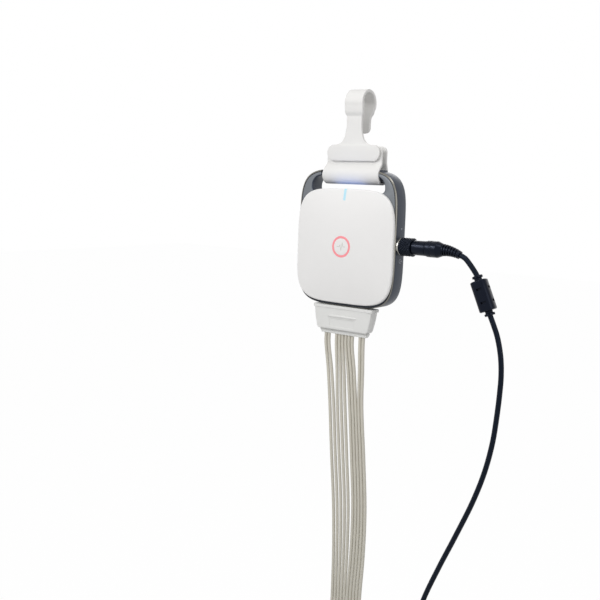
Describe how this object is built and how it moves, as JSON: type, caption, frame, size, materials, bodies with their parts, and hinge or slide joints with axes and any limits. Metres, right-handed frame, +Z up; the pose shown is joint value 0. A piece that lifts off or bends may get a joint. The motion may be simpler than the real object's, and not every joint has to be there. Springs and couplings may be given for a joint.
{
  "type": "pc ecg machine",
  "caption": "Recorder for a computer, hung from a rail: crowned front in a frame with a handle slot, silicone hanger, lead block with patient leads, and a cable with a round plug.",
  "frame": {"origin": "axis of the rail in the hanger's loop, at the middle of the loop's width", "axes": "+Z up, front towards -Y, the cable's port towards +X"},
  "size_m": [0.2096, 0.0393, 0.7253],
  "materials": {
    "silicone": "smooth white silicone",
    "dark_frame": "satin dark grey",
    "bright_trim": "bright chamfer",
    "white_shell": "smooth white",
    "blue_light": "lit, pale blue",
    "red_light": "lit, pale red",
    "grey_back": "fine matt grain",
    "steel": "bright",
    "circuit_board": "green solder mask",
    "black_plastic": "satin black",
    "connector_grey": "light grey, satin",
    "lead_jacket": "warm grey jacket",
    "cable_jacket": "black jacket"
  },
  "bodies": {
    "hanger": {"hanger_strap": "silicone", "wrap_band": "silicone"},
    "recorder": {"frame": "dark_frame", "edge_trim": "bright_trim", "front_cover": "white_shell", "light_bar": "blue_light", "button_light_ring": "red_light", "button_switch": "black_plastic", "back_cover": "grey_back", "back_screw_1": "steel", "back_screw_2": "steel", "back_screw_3": "steel", "back_screw_4": "steel", "main_board": "circuit_board", "shield_can": "steel", "lead_socket": "black_plastic", "port_socket": "steel"},
    "button": {"start_button": "white_shell"},
    "cable_plug": {"plug_body": "black_plastic", "plug_strain_relief": "black_plastic", "power_cable": "cable_jacket", "ferrite_case": "black_plastic", "cable_coil": "cable_jacket", "coil_tie": "black_plastic", "usb_plug": "black_plastic"},
    "plug_lock_ring": {"lock_ring": "black_plastic"},
    "lead_set": {"lead_block_front": "connector_grey", "lead_block_back": "connector_grey", "lead_exit_bar": "connector_grey", "lead_tie": "black_plastic", "lead_1": "lead_jacket", "lead_2": "lead_jacket", "lead_3": "lead_jacket", "lead_4": "lead_jacket", "lead_5": "lead_jacket", "lead_6": "lead_jacket", "lead_7": "lead_jacket", "lead_8": "lead_jacket", "lead_9": "lead_jacket", "lead_10": "lead_jacket", "lead_fold_1": "lead_jacket", "lead_fold_2": "lead_jacket", "lead_fold_3": "lead_jacket", "lead_fold_4": "lead_jacket", "lead_fold_5": "lead_jacket", "lead_fold_6": "lead_jacket", "lead_fold_7": "lead_jacket", "lead_fold_8": "lead_jacket", "lead_fold_9": "lead_jacket", "lead_fold_10": "lead_jacket", "lead_plug_1": "connector_grey", "lead_plug_2": "connector_grey", "lead_plug_3": "connector_grey", "lead_plug_4": "connector_grey", "lead_plug_5": "connector_grey", "lead_plug_6": "connector_grey", "lead_plug_7": "connector_grey", "lead_plug_8": "connector_grey", "lead_plug_9": "connector_grey", "lead_plug_10": "connector_grey"}
  },
  "joints": [
    {"name": "recorder_swing", "type": "hinge", "parent": "hanger", "child": "recorder", "pos_m": [-0.0012, -0.0045, -0.0681], "axis": [1, 0, 0], "range_deg": [-12, 20]},
    {"name": "start_button_press", "type": "slide", "parent": "recorder", "child": "button", "axis": [0, 1, 0], "range_m": [0, 0.0006], "stiffness_N_per_m": 700, "springref_m": -0.0006},
    {"name": "cable_plug_pull", "type": "slide", "parent": "recorder", "child": "cable_plug", "axis": [1, 0, 0], "range_m": [0, 0.01]},
    {"name": "lock_ring_turn", "type": "hinge", "parent": "cable_plug", "child": "plug_lock_ring", "pos_m": [0.0578, -0.0057, -0.1277], "axis": [1, 0, 0], "range_deg": [0, 60]},
    {"name": "lead_block_pull", "type": "slide", "parent": "recorder", "child": "lead_set", "axis": [0, 0, -1], "range_m": [0, 0.0085]}
  ]
}
